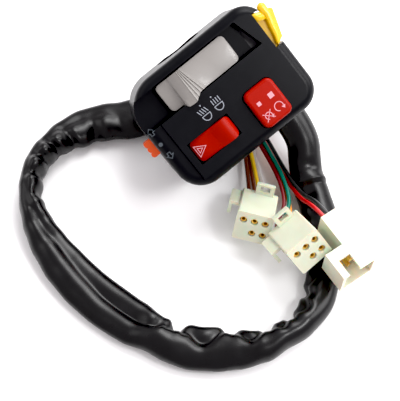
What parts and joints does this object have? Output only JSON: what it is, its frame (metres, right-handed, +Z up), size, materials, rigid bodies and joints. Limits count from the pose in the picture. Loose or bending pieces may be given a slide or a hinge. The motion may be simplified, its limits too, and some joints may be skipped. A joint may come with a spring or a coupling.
{
  "type": "handlebar switch cluster",
  "caption": "Motorcycle handlebar switch cluster: black clamp-on housing with beam slider, stop button, hazard rocker, horn lever and turn knob, on a sleeved harness loop.",
  "frame": {"origin": "bottom centre of the housing's box (without the harness), on the table it lies on", "axes": "+Z up from the table; the front face looks up and towards -Y; the picture is taken from -Y, 65 degrees up"},
  "size_m": [0.1547, 0.1522, 0.0717],
  "materials": {
    "housing_plastic": "fine-grained black moulding",
    "dark_zinc": "black-coated die casting",
    "grey_plastic": "satin light grey moulding",
    "black_plastic": "black acetal",
    "yellow_plastic": "gloss yellow moulding",
    "red_plastic": "gloss red moulding",
    "orange_plastic": "gloss orange moulding",
    "switch_body": "black phenolic",
    "contact_board": "brown laminate",
    "contact_brass": "punched brass",
    "terminal_brass": "rolled brass tube",
    "steel": "zinc-plated steel",
    "spring_steel": "drawn wire",
    "grommet_rubber": "black rubber",
    "sleeve_vinyl": "glossy limp black vinyl",
    "nylon": "natural translucent nylon",
    "insulation_brown": "wire insulation",
    "insulation_tan": "wire insulation",
    "insulation_yellow": "wire insulation",
    "insulation_white": "wire insulation",
    "insulation_maroon": "wire insulation",
    "insulation_orange": "wire insulation",
    "insulation_green": "wire insulation",
    "insulation_red": "wire insulation",
    "insulation_black": "wire insulation"
  },
  "bodies": {
    "housing": {"bar_saddle": "dark_zinc", "beam_board_screws": "steel", "beam_contact_board": "contact_board", "beam_fixed_contacts": "contact_brass", "clamp_inserts": "contact_brass", "clamp_screws": "steel", "connector_a": "nylon", "connector_b": "nylon", "connector_c": "nylon", "front_shell": "housing_plastic", "harness_grommet": "grommet_rubber", "harness_sleeve": "sleeve_vinyl", "hazard_base": "switch_body", "hazard_pivot_pin": "steel", "hazard_terminals": "contact_brass", "horn_contact_block": "switch_body", "horn_fixed_contact": "contact_brass", "horn_pivot_pin": "steel", "horn_return_spring": "spring_steel", "kill_return_spring": "spring_steel", "kill_switch_body": "switch_body", "kill_terminals": "contact_brass", "rear_shell": "housing_plastic", "saddle_screws": "steel", "terminals_a": "terminal_brass", "terminals_b": "terminal_brass", "terminals_c": "terminal_brass", "turn_board_screws": "steel", "turn_contact_board": "contact_board", "turn_fixed_contacts": "contact_brass", "wire_black": "insulation_black", "wire_brown": "insulation_brown", "wire_green": "insulation_green", "wire_maroon": "insulation_maroon", "wire_orange": "insulation_orange", "wire_red": "insulation_red", "wire_tan": "insulation_tan", "wire_white": "insulation_white", "wire_yellow": "insulation_yellow"},
    "beam_switch": {"beam_slider": "grey_plastic", "beam_carrier": "black_plastic", "beam_bridge_contact": "contact_brass", "beam_contact_spring": "spring_steel", "beam_detent_ball": "steel", "beam_detent_spring": "spring_steel"},
    "stop_button": {"kill_button_cap": "red_plastic", "kill_plunger": "black_plastic", "kill_contact_bridge": "contact_brass"},
    "hazard_switch": {"hazard_rocker": "red_plastic", "hazard_plunger": "steel", "hazard_plunger_spring": "spring_steel"},
    "hazard_seesaw": {"hazard_seesaw_contact": "contact_brass"},
    "horn_lever": {"horn_lever": "yellow_plastic", "horn_contact_stud": "contact_brass"},
    "turn_switch": {"turn_knob": "orange_plastic", "turn_carrier": "black_plastic", "turn_bridge_contact": "contact_brass", "turn_contact_spring": "spring_steel", "turn_detent_ball": "steel", "turn_detent_spring": "spring_steel"}
  },
  "joints": [
    {"name": "beam_slide", "type": "slide", "parent": "housing", "child": "beam_switch", "axis": [0.7772, 0.5734, 0.2591], "range_m": [0, 0.006]},
    {"name": "stop_press", "type": "slide", "parent": "housing", "child": "stop_button", "axis": [-0.1154, 0.5347, -0.8371], "range_m": [0, 0.003], "stiffness_N_per_m": 400, "springref_m": -0.0012, "deforming": ["kill_return_spring"]},
    {"name": "hazard_tilt", "type": "hinge", "parent": "housing", "child": "hazard_switch", "pos_m": [-0.00281, -0.02372, 0.04159], "axis": [-0.6186, 0.6207, 0.4818], "range_deg": [0, 14]},
    {"name": "seesaw_tilt", "type": "hinge", "parent": "housing", "child": "hazard_seesaw", "pos_m": [-0.00369, -0.0196, 0.03515], "axis": [-0.6186, 0.6207, 0.4818], "range_deg": [-8, 0]},
    {"name": "horn_press", "type": "hinge", "parent": "housing", "child": "horn_lever", "pos_m": [0.02034, 0.00996, 0.05334], "axis": [0.1154, -0.5347, 0.8371], "range_deg": [0, 7], "stiffness_Nm_per_rad": 0.35, "springref_deg": -2.86, "deforming": ["horn_return_spring"]},
    {"name": "turn_slide", "type": "slide", "parent": "housing", "child": "turn_switch", "axis": [0.6186, -0.6207, -0.4818], "range_m": [-0.004, 0.004]}
  ],
  "couplings": [
    {"joint": "seesaw_tilt", "follows": "hazard_tilt", "ratio": -0.57143}
  ]
}
